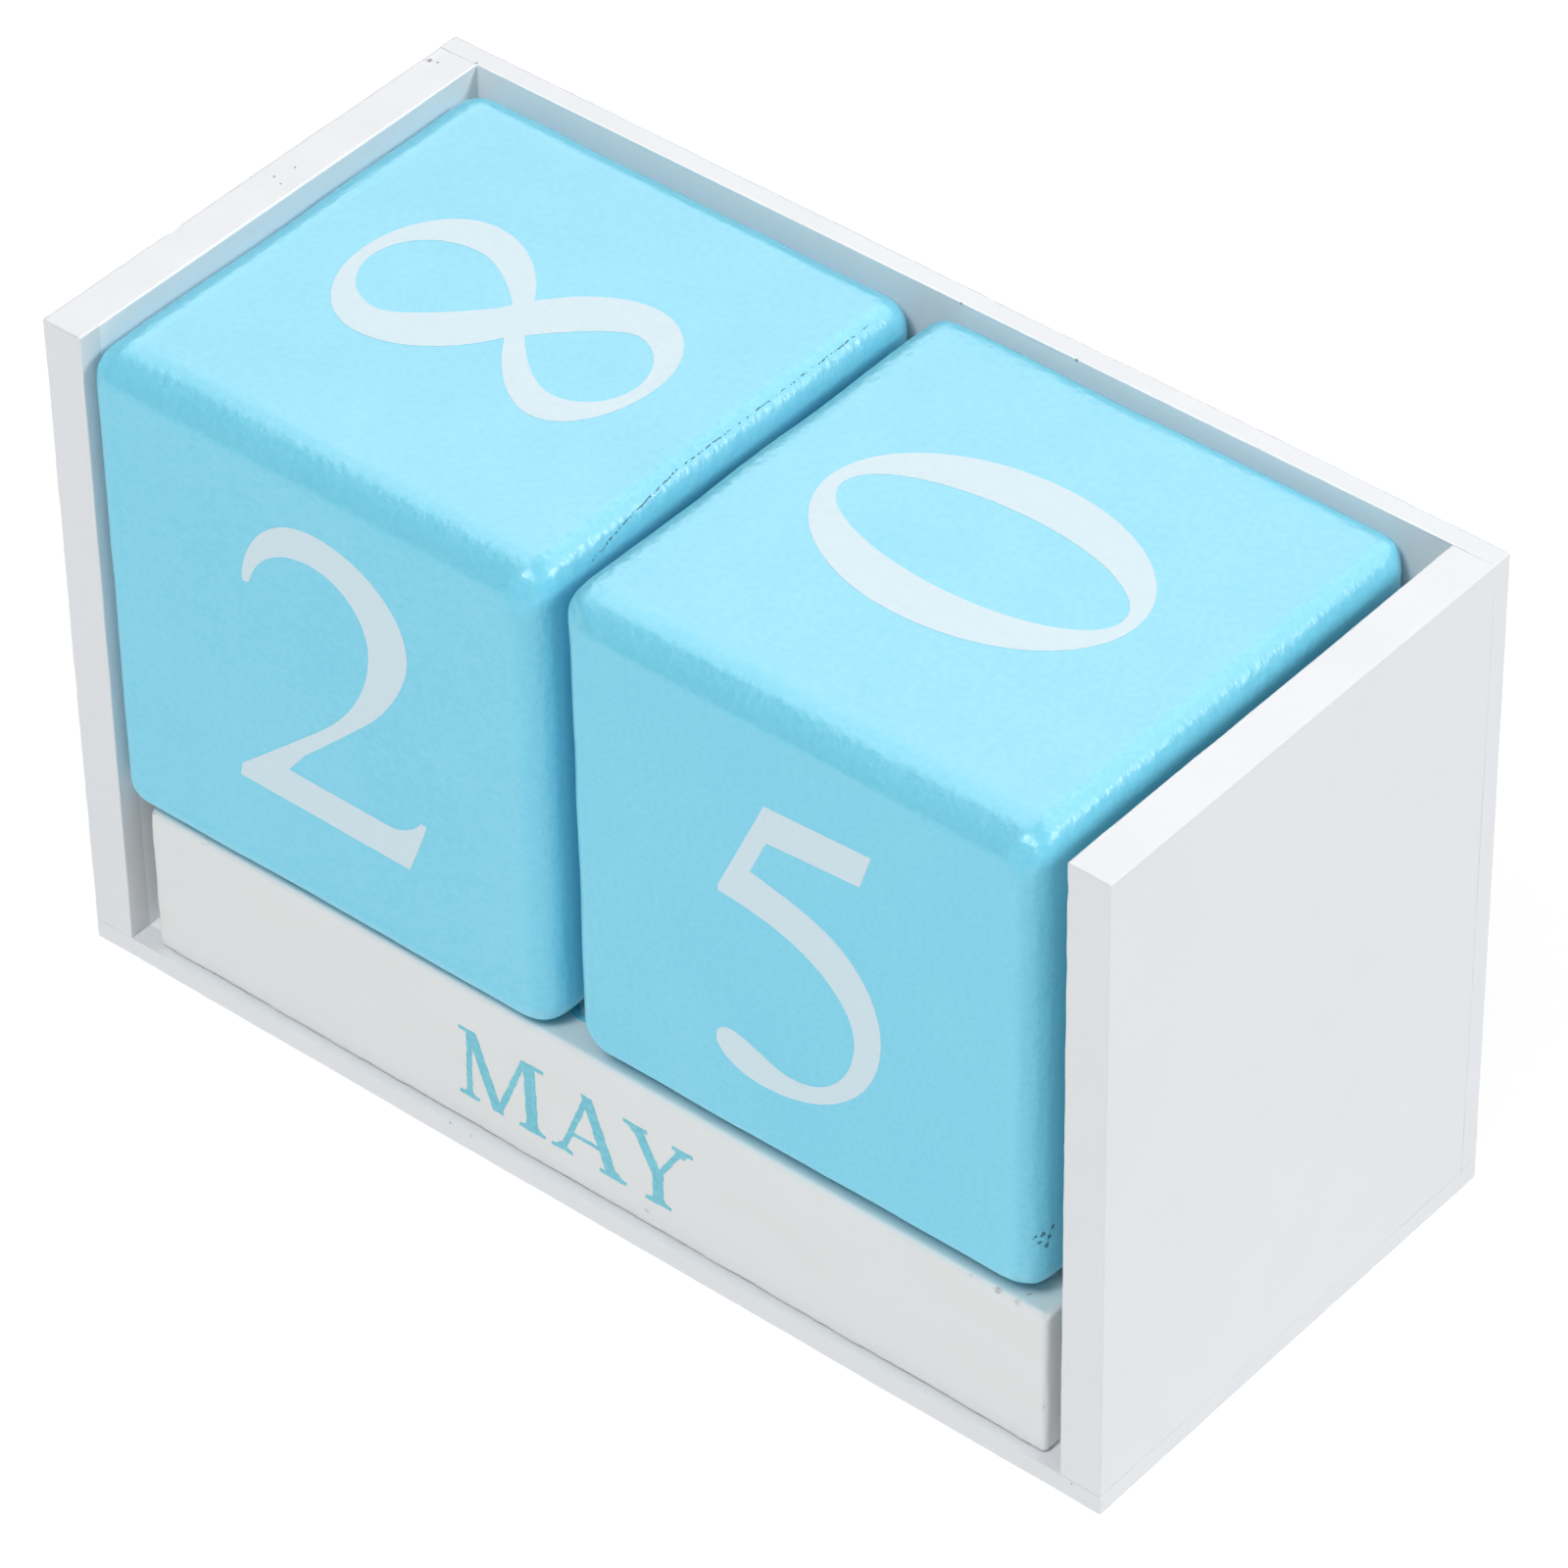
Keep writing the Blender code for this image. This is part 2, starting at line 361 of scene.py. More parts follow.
def axis_places(low, high, inset_low, inset_high, spacing, steps):
    """Coordinates across a face: evenly over its flat, and by equal angles over its roundings.
    A pair of close lines just inside the flat keeps its shading flat."""
    turns = [math.tan(math.radians(45 * step / steps)) for step in range(1, steps + 1)]
    flat_low, flat_high = low + inset_low, high - inset_high
    start, end = flat_low + HOLDING_GAP, flat_high - HOLDING_GAP
    count = max(2, round((end - start) / spacing))
    flat = [start + (end - start) * index / count for index in range(count + 1)]
    before = [flat_low - inset_low * turn for turn in reversed(turns)] + [flat_low]
    after = [flat_high] + [flat_high + inset_high * turn for turn in turns]
    return before + flat + after


def rounded_block(low, high, insets, spacing, steps=4, exponent=2.0, widths=None, shape=None):
    """Points and faces of a closed block. insets gives the width of the rounding at the low and
    the high end of each axis. widths may give three smaller widths for a point. A rounding is
    part of a superellipse. shape may move each point: it is given the point, its outward
    direction and how far it is into a rounding, from 0 to 1."""
    centre = (low + high) / 2
    places = [
        axis_places(low[axis], high[axis], *insets[axis], spacing, steps) for axis in range(3)
    ]
    points, faces, index_of = [], [], {}

    def point_index(spot):
        key = tuple(round(value, 5) for value in spot)
        if key in index_of:
            return index_of[key]
        if widths is None:
            local = [insets[axis][spot[axis] > centre[axis]] for axis in range(3)]
        else:
            local = widths(spot)
        inner = [
            min(max(spot[axis], low[axis] + local[axis]), high[axis] - local[axis])
            for axis in range(3)
        ]
        away = Vector(spot) - Vector(inner)
        shares = [abs(away[axis]) / local[axis] for axis in range(3)]
        length = sum(share ** exponent for share in shares) ** (1 / exponent)
        moved = Vector(inner) + away / length
        if shape is not None:
            moved = shape(moved, away.normalized(), sorted(shares)[1])
        index_of[key] = len(points)
        points.append(moved)
        return index_of[key]

    for axis in range(3):
        first, second = [other for other in range(3) if other != axis]
        for value, flip in ((low[axis], axis != 1), (high[axis], axis == 1)):
            grid = []
            for a in places[first]:
                row = []
                for b in places[second]:
                    spot = [0.0, 0.0, 0.0]
                    spot[axis], spot[first], spot[second] = value, a, b
                    row.append(point_index(spot))
                grid.append(row)
            for i in range(len(grid) - 1):
                for j in range(len(grid[0]) - 1):
                    quad = (grid[i][j], grid[i + 1][j], grid[i + 1][j + 1], grid[i][j + 1])
                    faces.append(quad[::-1] if flip else quad)
    return points, faces


def new_piece(name, points, faces, material, slot, body, *nodes, smooth=True):
    """Make a mesh object from millimetres, and say what it is and what it moves with."""
    mesh = bpy.data.meshes.new(name)
    mesh.from_pydata([Vector(point) * MM for point in points], [], faces)
    mesh.materials.append(material)
    if smooth:
        mesh.shade_smooth()
    mesh.validate()
    piece = bpy.data.objects.new(name, mesh)
    bpy.context.scene.collection.objects.link(piece)
    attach(piece, body)
    if nodes:
        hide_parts(*nodes)
    return piece


def lump(point, size, amount, seed):
    """A gentle unevenness that is the same each time."""
    return noise.noise(Vector(point) / size + Vector((seed, 2 * seed, 3 * seed))) * amount


def dent(point, centre, radius, depth):
    """How deep a round dent is at a point."""
    reach = (point - Vector(centre)).length / radius
    return depth * math.exp(-2 * reach * reach)


# ---------------------------------------------------------------- the tray

CONTACT_GAP = 0.3
SEAM = 0.02
OUTER_EDGE = 0.16
INNER_EDGE = 0.16
PANEL_SPACING = 1.3
# Unevenness, as (size, amount).
PANEL_EDGE_LUMPS = (4.0, 0.05)
PANEL_EDGE_RIPPLES = (1.1, 0.035)
PANEL_WARP = (22.0, 0.03)
PANEL_DENTS = (
    ((-55.2, 0.9, 69.2), 0.5, 0.14),
    ((-54.7, 2.95, 69.2), 0.35, 0.10),
    ((-54.1, 0.5, 69.2), 0.35, 0.08),
    ((-55.9, 21.9, 69.1), 0.9, 0.22),
    ((-52.6, 18.1, 69.1), 0.7, 0.12),
    ((-56.6, -10.2, 69.1), 0.8, 0.14),
    ((52.6, -26.0, 66.5), 0.8, 0.10),
    ((52.6, -26.0, 58.0), 1.1, 0.08),
    ((56.7, -26.0, 20.6), 0.7, 0.08),
)
# Where the pins go in: up through the base, and from behind through the back.
PIN_SIDES = (-54.65, 54.65)
PIN_DEPTHS = (-16.05, -1.05, 13.95)
PIN_HEIGHTS = (12.4, 35.8, 59.2)
BACK_FACE = 26.05
PIN_ENTRIES = {
    "base_panel": ([(x, y, 0.0) for x in PIN_SIDES for y in PIN_DEPTHS], Z),
    "back_panel": ([(x, BACK_FACE, z) for x in PIN_SIDES for z in PIN_HEIGHTS], -Y),
}
HOLE_RADIUS = 0.9
HOLE_DEPTH = 1.6
HOLE_OVERSHOOT = 1.0
HOLE_SIDES = 24
HOLE_SHARP_ANGLE = 0.9


def panel_shape(seed):
    """Paint that has built up and pulled back unevenly along a panel's edges, and its dents."""
    def shape(point, outward, into_rounding):
        push = lump(point, *PANEL_EDGE_LUMPS, seed) * into_rounding
        push += lump(point, *PANEL_EDGE_RIPPLES, seed + 5) * into_rounding
        push += lump(point, *PANEL_WARP, seed + 9)
        push -= sum(dent(point, *place) for place in PANEL_DENTS)
        return point + outward * push
    return shape


def drill(piece, places, inward):
    """Cut round, blind holes in a panel, from the given places on its face."""
    cutters = bmesh.new()
    turn = Z.rotation_difference(inward).to_matrix().to_4x4()
    for place in places:
        centre = Vector(place) + inward * (HOLE_DEPTH - HOLE_OVERSHOOT) / 2
        bmesh.ops.create_cone(
            cutters, cap_ends=True, segments=HOLE_SIDES, radius1=HOLE_RADIUS * MM,
            radius2=HOLE_RADIUS * MM, depth=(HOLE_DEPTH + HOLE_OVERSHOOT) * MM,
            matrix=Matrix.Translation(centre * MM) @ turn,
        )
    mesh = bpy.data.meshes.new("pin_holes")
    cutters.to_mesh(mesh)
    cutters.free()
    cutter = bpy.data.objects.new("pin_holes", mesh)
    bpy.context.scene.collection.objects.link(cutter)
    holes = piece.modifiers.new("pin_holes", "BOOLEAN")
    holes.operation = "DIFFERENCE"
    holes.solver = "EXACT"
    holes.object = cutter
    evaluated = piece.evaluated_get(bpy.context.evaluated_depsgraph_get())
    drilled = bpy.data.meshes.new_from_object(evaluated)
    piece.modifiers.clear()
    piece.data = drilled
    bpy.data.objects.remove(cutter, do_unlink=True)
    bpy.data.meshes.remove(mesh)
    drilled.set_sharp_from_angle(angle=HOLE_SHARP_ANGLE)


def make_tray(material):
    """Base, sides that stand on it and a back behind them, with closed, faintly visible seams."""
    insets = {
        "base_panel": ((OUTER_EDGE, OUTER_EDGE), (OUTER_EDGE, OUTER_EDGE), (OUTER_EDGE, SEAM)),
        "back_panel": ((OUTER_EDGE, OUTER_EDGE), (SEAM, OUTER_EDGE), (SEAM, OUTER_EDGE)),
        "left_side_panel": ((OUTER_EDGE, INNER_EDGE), (INNER_EDGE, SEAM), (SEAM, OUTER_EDGE)),
        "right_side_panel": ((INNER_EDGE, OUTER_EDGE), (INNER_EDGE, SEAM), (SEAM, OUTER_EDGE)),
    }
    for seed, (node, widths) in enumerate(insets.items()):
        low, high = box_mm(node)
        if node != "base_panel":
            low.z -= CONTACT_GAP
        if node.endswith("side_panel"):
            high.y += CONTACT_GAP
        points, faces = rounded_block(
            low, high, widths, PANEL_SPACING, steps=3, shape=panel_shape(seed)
        )
        panel = new_piece(f"painted_{node}", points, faces, material, "white_paint", "tray", node)
        if node in PIN_ENTRIES:
            drill(panel, *PIN_ENTRIES[node])


# ---------------------------------------------------------------- numerals and letters

NEARLY_PARALLEL = 0.05
NEARLY_HALF_TURN = 3.1
HALF_TURN_SHARE = 0.66
LONGEST_HANDLE = 1.2


def turn_between(start, end):
    """The turn from one heading to another, from -180 to 180 degrees."""
    return (end - start + 180) % 360 - 180


def curve(start, end, start_heading, end_heading, steps):
    """Points of a cubic from start up to end that leaves and arrives at the given headings. Its
    handles are those of an ellipse's arc where the two headings meet."""
    leave, arrive = [
        Vector((math.cos(math.radians(heading)), math.sin(math.radians(heading))))
        for heading in (start_heading, end_heading)
    ]
    gap = end - start
    near = far = gap.length / 3
    cross = leave.cross(arrive)
    if abs(cross) > NEARLY_PARALLEL:
        to_meeting = gap.cross(arrive) / cross
        from_meeting = -gap.cross(leave) / cross
        if to_meeting > 0 and from_meeting > 0:
            turn = math.radians(abs(turn_between(start_heading, end_heading)))
            share = HALF_TURN_SHARE
            if turn < NEARLY_HALF_TURN:
                share = 4 / 3 * math.tan(turn / 4) / math.tan(turn / 2)
            near = min(share * to_meeting, LONGEST_HANDLE * gap.length)
            far = min(share * from_meeting, LONGEST_HANDLE * gap.length)
    handles = (start, start + leave * near, end - arrive * far, end)
    points = geometry.interpolate_bezier(*[handle.to_3d() for handle in handles], steps + 1)
    return [point.to_2d() for point in points[:-1]]


def outline(*nodes, steps=12):
    """A closed outline. A node is (x, y), a corner between straight runs; (x, y, heading), on a
    smooth curve; or (x, y, heading in, heading out), a corner, where None makes a straight run."""
    points = []
    for index, node in enumerate(nodes):
        following = nodes[(index + 1) % len(nodes)]
        leaving = node[-1] if len(node) > 2 else None
        arriving = following[2] if len(following) > 2 else None
        start, end = Vector(node[:2]), Vector(following[:2])
        if leaving is None or arriving is None:
            points.append(start)
        else:
            points += curve(start, end, leaving, arriving, steps)
    return points


def slab(left, right, low, high):
    """An upright rectangle."""
    return [Vector(corner) for corner in ((left, low), (right, low), (right, high), (left, high))]


def slope(left, low, right, high, width):
    """A slanting stroke whose foot and head are both cut level; width is measured level."""
    return [Vector(corner) for corner in (
        (left, low), (left + width, low), (right + width, high), (right, high)
    )]


# Numerals, 31.5 mm high, from a thin pen held level: each is (solid outlines, hollow outlines).
DIGITS = {
    "0": (
        [outline((10.3, 31.5, 0), (21.1, 15.0, -90), (10.8, 0, 180), (0, 16.5, 90))],
        [outline((10.4, 30.2, 0), (16.4, 15.7, -90), (10.8, 1.4, 180), (4.8, 16.7, 90))],
    ),
    "1": (
        [
            outline((7.2, 31.5), (7.9, 31.5), (7.9, 2.6, -90), (11.6, 0.9, 0, None), (11.6, 0),
                    (0.2, 0), (0.2, 0.9, None, 0), (4.0, 2.6, 90, None), (4.0, 27.0, None, 130),
                    (0.0, 27.4, 200, None), (0.0, 28.3)),
        ],
        [],
    ),
    "2": (
        [
            outline((1.8, 22.8, 84), (10.5, 31.5, 0), (20.4, 23.2, -92), (16.8, 15.3, -127),
                    (7.8, 6.2, -136), (5.8, 3.6), (17.2, 3.5, None, 0), (21.0, 5.8, 55, None),
                    (21.6, 5.7, None, -106), (19.4, -0.2, -112, None), (0, 0), (0.3, 1.4, None, 42),
                    (10.1, 10.3, 43), (16.0, 21.6, 88), (9.9, 28.0, 180), (2.7, 22.8, -106)),
        ],
        [],
    ),
    "3": (
        [
            outline((1.6, 25.6, 70), (8.6, 31.5, 0), (16.0, 24.9, -90), (11.2, 17.6, -150, -12),
                    (18.0, 9.4, -90), (7.6, 0, 180), (0.2, 3.0, 118), (1.8, 4.5, -8),
                    (8.0, 2.7, 0), (14.6, 9.2, 90), (6.6, 16.2, 178, None), (6.4, 17.1, None, 20),
                    (12.2, 24.2, 90), (7.6, 29.2, 180), (2.5, 25.0, -114)),
        ],
        [],
    ),
    "4": (
        [slab(13.0, 16.3, 0, 31.5), slab(0, 20.8, 8.6, 10.6), slab(9.4, 19.9, 0, 0.8),
         slope(0, 9.4, 13.2, 31.5, 2.0)],
        [],
    ),
    "5": (
        [
            outline((5.6, 30.8), (16.7, 31.4), (15.5, 27.7), (5.8, 27.0), (4.0, 23.0, None, -10),
                    (11.8, 20.9, -24), (17.6, 11.9, -90), (4.9, 0, 180), (0, 2.9, 88),
                    (1.8, 4.4, -6), (8.0, 2.6, 0), (14.8, 10.4, 90), (6.0, 18.4, 168),
                    (0.6, 19.1, 178, None), (0.5, 19.6)),
        ],
        [],
    ),
    "6": (
        [
            outline((17.6, 31.5), (17.8, 30.6, None, 188), (4.6, 14.0, -94), (10.2, 19.6, 0),
                    (19.8, 9.8, -90), (10.0, 0, 180), (0, 12.6, 90), (17.6, 31.5, 8, None)),
        ],
        [outline((9.8, 17.7, 0), (15.0, 9.4, -90), (10.2, 1.3, 180), (4.7, 10.0, 90))],
    ),
    "7": (
        [
            outline((0.4, 31.5), (19.2, 31.5), (19.2, 30.5, None, -116), (8.2, 0, -100, None),
                    (4.4, 0, None, 80), (15.6, 27.6, 62, None), (4.2, 27.6, None, 180),
                    (0.8, 24.6, -100, None), (0.0, 24.6)),
        ],
        [],
    ),
    "8": (
        [
            outline((8.3, 32.0, 0), (17.7, 25.9, -92), (11.2, 17.6, -146, -30),
                    (18.3, 7.2, -90), (9.4, 0, 180), (0, 7.2, 90), (5.8, 16.2, 33, 143),
                    (0.2, 25.1, 90)),
        ],
        [
            outline((9.4, 30.6, 180), (4.0, 26.1, -92), (9.9, 18.7, -42, 42), (14.5, 25.6, 90)),
            outline((7.3, 15.1, 210, -132), (3.6, 8.2, -92), (9.6, 1.3, 0), (14.9, 6.4, 90),
                    (10.9, 12.2, 134)),
        ],
    ),
}

# Capitals, 7.9 mm high. THICK and THIN are the two widths of stroke, measured level.
CAP_HEIGHT = 7.9
THICK = 1.3
THIN = 0.65
SERIF = 0.38
FOOT = 0.85


def serif(left, right, level, up):
    """A thin bracketed serif that stands on a level and grows up or down from it."""
    heading = 90 if up > 0 else -90
    thin = level + up * SERIF
    side = FOOT * 0.75
    joint = thin + up * 0.55
    return outline(
        (left - FOOT, level), (right + FOOT, level), (right + FOOT, thin, None, 180),
        (right, joint, heading, None), (left, joint, None, -heading),
        (left - FOOT + 0.1 * side, thin, 180, None), steps=5,
    )


def upright(left, width):
    """A stem with a serif at each end."""
    right = left + width
    return [
        slab(left, right, 0, CAP_HEIGHT),
        serif(left, right, 0, 1),
        serif(left, right, CAP_HEIGHT, -1),
    ]


def bowl(left, low, high, reach):
    """A half ring that opens to the left, thin where it leaves the stem and thick at its side."""
    middle = (low + high) / 2
    turn = left + reach * 0.42
    return outline(
        (left, low), (turn, low, None, 0), (left + reach, middle, 90), (turn, high, 180, None),
        (left, high), (left, high - SERIF), (turn, high - SERIF, None, 0),
        (left + reach - THICK, middle, -90), (turn, low + SERIF, 180, None), (left, low + SERIF),
    )


def arm(left, right, level, up, drop=1.5):
    """A level hairline with a wedge at its end."""
    return outline(
        (left, level), (right, level), (right, level + up * drop), (right - 0.2, level + up * drop),
        (right - 1.1, level + up * SERIF), (left, level + up * SERIF),
    )


def open_ring(width):
    """The round of C and G, with its mouth at the right."""
    return [
        outline(
            (width - 0.2, 1.5, None, 200), (width * 0.56, -0.1, 180), (0, CAP_HEIGHT / 2, 90),
            (width * 0.56, CAP_HEIGHT + 0.1, 0), (width - 0.3, CAP_HEIGHT - 0.7, -20, None),
            (width - 0.3, CAP_HEIGHT - 2.3), (width - 0.6, CAP_HEIGHT - 2.3, None, 118),
            (width * 0.58, CAP_HEIGHT - 0.35, 180), (THICK + 0.1, CAP_HEIGHT / 2, -90),
            (width * 0.58, 0.45, 0), (width, 1.9, 42, None),
        )
    ]


RING_OUTER = outline((4.4, 8.0, 0), (8.8, 3.95, -90), (4.4, -0.1, 180), (0, 3.95, 90))
RING_INNER = outline((4.3, 7.6, 0), (7.4, 3.8, -90), (4.5, 0.3, 180), (1.4, 4.1, 90))
TOP_ARMS = outline(
    (0, 7.9), (7.8, 7.9), (7.9, 6.1), (7.65, 6.1), (6.7, 7.5), (1.1, 7.5), (0.15, 6.1), (-0.1, 6.1)
)
# Each capital is (its width, solid outlines, hollow outlines).
LETTERS = {
    "A": (8.6, [slope(0.8, 0, 3.9, 7.9, THIN), slope(6.2, 0, 3.4, 7.9, THICK),
                slab(2.0, 6.4, 2.4, 2.8), serif(0.8, 1.45, 0, 1), serif(6.2, 7.5, 0, 1)], []),
    "B": (6.9, upright(0.85, THICK) + [bowl(1.6, 4.0, 7.9, 4.3), bowl(1.6, 0, 4.4, 4.9)], []),
    "C": (7.8, open_ring(7.6), []),
    "D": (8.6, upright(0.85, THICK) + [bowl(1.6, 0, 7.9, 6.6)], []),
    "E": (6.7, upright(0.85, THICK) + [arm(1.6, 6.2, 0, 1), arm(1.6, 5.9, 7.9, -1),
                                       slab(1.6, 4.9, 3.9, 4.3), slab(4.6, 4.9, 3.2, 5.0)], []),
    "F": (6.2, upright(0.85, THICK) + [arm(1.6, 6.0, 7.9, -1), slab(1.6, 4.9, 3.8, 4.2),
                                       slab(4.6, 4.9, 3.1, 4.9)], []),
    "G": (8.4, open_ring(7.6) + [slab(6.2, 7.5, 0.6, 3.6), serif(6.2, 7.5, 3.6, -1)], []),
    "J": (4.4, [outline((1.7, 7.9), (3.0, 7.9), (3.0, 0.4, None, -90), (0, -1.9, 180),
                        (0, -1.4, None, 0), (1.7, 0.6, 90, None)), serif(1.7, 3.0, 7.9, -1)], []),
    "L": (6.5, upright(0.85, THICK) + [arm(1.6, 6.2, 0, 1, 1.9)], []),
    "M": (10.3, [slope(0.9, 0, 1.15, 7.9, THIN), slope(3.9, 0, 1.05, 7.9, 1.2),
                 slope(4.2, 0, 7.4, 7.9, THIN), slope(7.75, 0, 7.6, 7.9, THICK),
                 serif(0.95, 1.5, 0, 1), serif(7.75, 9.05, 0, 1), slab(0.2, 1.3, 7.5, 7.9),
                 slab(8.2, 9.9, 7.5, 7.9)], []),
    "N": (8.8, [slab(1.1, 1.7, 0, 7.9), slope(5.9, 0, 0.9, 7.9, THICK), slab(6.6, 7.2, 0, 7.9),
                serif(1.1, 1.7, 0, 1), serif(6.6, 7.2, 7.9, -1), slab(0.1, 1.4, 7.5, 7.9)], []),
    "O": (8.8, [RING_OUTER], [RING_INNER]),
    "P": (6.7, upright(0.85, THICK) + [bowl(1.6, 3.5, 7.9, 4.7)], []),
    "R": (8.0, upright(0.85, THICK) + [bowl(1.6, 3.8, 7.9, 4.5), slope(5.9, 0, 2.9, 4.1, THICK),
                                       slab(6.2, 8.2, 0, SERIF)], []),
    "S": (5.9, [outline(
        (4.9, 7.3, None, 150), (2.7, 8.0, 180), (0.3, 5.9, -90), (2.6, 3.8, -32), (4.2, 1.9, -90),
        (2.6, 0.3, 180), (0.6, 2.3, 112, None), (0.2, 2.3), (0.3, 0.5, None, -18), (2.7, -0.1, 0),
        (5.4, 2.3, 90), (3.1, 4.6, 150), (1.4, 6.2, 90), (2.7, 7.6, 0), (4.6, 5.8, -70, None),
        (5.0, 5.8))], []),
    "T": (7.8, [TOP_ARMS, slab(3.25, 4.55, 0, 7.7), serif(3.25, 4.55, 0, 1)], []),
    "U": (8.6, [outline((1.1, 7.9), (1.1, 2.9, None, -90), (4.5, -0.1, 0), (7.4, 2.9, 90, None),
                        (7.4, 7.9), (6.8, 7.9), (6.8, 2.9, None, -90), (4.7, 0.6, 180),
                        (2.4, 2.9, 90, None), (2.4, 7.9)),
                serif(1.1, 2.4, 7.9, -1), serif(6.8, 7.4, 7.9, -1)], []),
    "V": (8.6, [slope(3.7, 0, 1.0, 7.9, THICK), slope(4.1, 0, 6.8, 7.9, THIN),
                serif(1.1, 2.2, 7.9, -1), serif(6.8, 7.4, 7.9, -1)], []),
    "Y": (8.4, [slope(3.5, 3.4, 1.2, 7.9, THICK), slope(3.9, 3.4, 6.7, 7.9, THIN),
                slab(3.6, 4.8, 0, 4.0), serif(3.6, 4.8, 0, 1), serif(1.3, 2.3, 7.9, -1),
                serif(6.7, 7.3, 7.9, -1)], []),
}
LETTER_GAP = 0.35
KERNING = {"AY": -1.2}

FILM_PROUD = 0.03
FILM_SUNK = 0.05
RAGGED_STEP = 0.35
RAGGED_SIZE = 0.5
WELD_DISTANCE = 1e-5


def ragged(points, amount, seed):
    """An outline cut into short steps, each moved a little, as the edge of a stencilled film is."""
    rough = []
    for index, start in enumerate(points):
        end = points[(index + 1) % len(points)]
        count = max(1, round((end - start).length / RAGGED_STEP))
        rough += [start.lerp(end, step / count) for step in range(count)]
    moved = []
    for point in rough:
        east = lump((point.x, point.y, seed), RAGGED_SIZE, amount, seed)
        north = lump((point.x, point.y, seed + 7.3), RAGGED_SIZE, amount, seed + 3)
        moved.append(point + Vector((east, north)))
    return moved


def film_mesh(solids, hollows, place):
    """Points and faces of a closed film: the solid outlines joined into one, less the hollow ones.
    place turns (x, y, height) on the face into a point in space."""
    flat, loops = [], []
    for loop in solids + hollows:
        area = sum(point.cross(loop[index - 1]) for index, point in enumerate(loop))
        loops.append(list(range(len(flat), len(flat) + len(loop))))
        flat += loop if area < 0 else loop[::-1]
    verts, _, triangles, _, _, origins = geometry.delaunay_2d_cdt(
        flat, [], loops, 1, WELD_DISTANCE, True
    )
    kept = [
        triangle for triangle, origin in zip(triangles, origins)
        if origin and all(loop < len(solids) for loop in origin)
    ]
    used = sorted({index for triangle in kept for index in triangle})
    number = {index: count for count, index in enumerate(used)}
    points = [place(*verts[index], FILM_PROUD) for index in used]
    points += [place(*verts[index], -FILM_SUNK) for index in used]
    below = len(used)
    faces, sides = [], {}
    for triangle in kept:
        a, b, c = [number[index] for index in triangle]
        faces += [(a, b, c), (c + below, b + below, a + below)]
        sides.update({(a, b): True, (b, c): True, (c, a): True})
    for a, b in sides:
        if (b, a) not in sides:
            faces.append((b, a, a + below, b + below))
    return points, faces


def on_face(origin, right, up):
    """A function that turns a place on a face, and a height above it, into a point in space."""
    outward = right.cross(up)

    def place(x, y, height):
        return origin + right * x + up * y + outward * height
    return place


def shifted(outlines, east, north):
    """The same outlines, moved."""
    return [[point + Vector((east, north)) for point in points] for points in outlines]


def extent(outlines):
    """The lowest and highest corners of some outlines."""
    xs = [point.x for points in outlines for point in points]
    ys = [point.y for points in outlines for point in points]
    return Vector((min(xs), min(ys))), Vector((max(xs), max(ys)))


# ---------------------------------------------------------------- number cubes

CUBE_EXPONENT = 2.1
CUBE_SPACING = 1.2
CUBE_RAGGED = 0.035
WIDEST_ROUNDING = 5.0
# Each cube was rounded, and then its front was planed: how much came off, how its low corner has
# moved from the CAD's, and the radius of each edge that is not the plain one.
CUBE_PLANED = {"left_number_cube": 0.30, "right_number_cube": 0.60}
CUBE_SETTLED = {"left_number_cube": (0, 0, 0), "right_number_cube": (0, 0.25, 0.2)}
SIDES = {
    "left": (0, 0), "right": (0, 1), "front": (1, 0), "back": (1, 1), "bottom": (2, 0),
    "top": (2, 1),
}
PLAIN_RADIUS = 3.2
CORNER_BLEND = 1.0
CUBE_EDGE_WAVES = (9.0, 0.12)
CUBE_EDGE_RIPPLES = (2.4, 0.025)
WANDER_GAIN = 1.6
EDGE_RADII = {
    "left_number_cube": {
        "front top": 4.5, "front left": 2.7, "front right": 4.0, "front bottom": 3.3,
        "top left": 2.4, "top right": 3.0, "top back": 3.1,
    },
    "right_number_cube": {
        "front top": 5.0, "front left": 4.3, "front right": 4.0, "front bottom": 4.6,
        "top left": 1.7, "top right": 3.0, "top back": 1.7,
    },
}
# For each face: its outward direction, which way its numeral stands, the numeral, and how far the
# numeral is off the middle of the face.
CUBE_FACES = {
    "left_number_cube": (
        (-Y, Z, "2", (0.9, 2.1)),
        (Z, X, "8", (-0.6, -0.3)),
        (X, Z, "6", (0.3, -0.6)),
        (Y, Z, "1", (-0.4, 0.5)),
        (-X, Z, "7", (0.5, 0.2)),
        (-Z, X, "0", (0.2, 0.7)),
    ),
    "right_number_cube": (
        (-Y, Z, "5", (0.3, -0.5)),
        (Z, X, "0", (-1.7, -1.8)),
        (X, Z, "1", (0.4, 0.3)),
        (Y, Z, "2", (-0.2, 0.6)),
        (-X, Z, "3", (0.5, -0.4)),
        (-Z, X, "4", (-0.5, 0.3)),
    ),
}


def edge_table(radii):
    """Radius by the two sides that an edge joins, in either order."""
    table = {}
    for name, radius in radii.items():
        first, second = [SIDES[side] for side in name.split()]
        table[first, second] = table[second, first] = radius
    return table


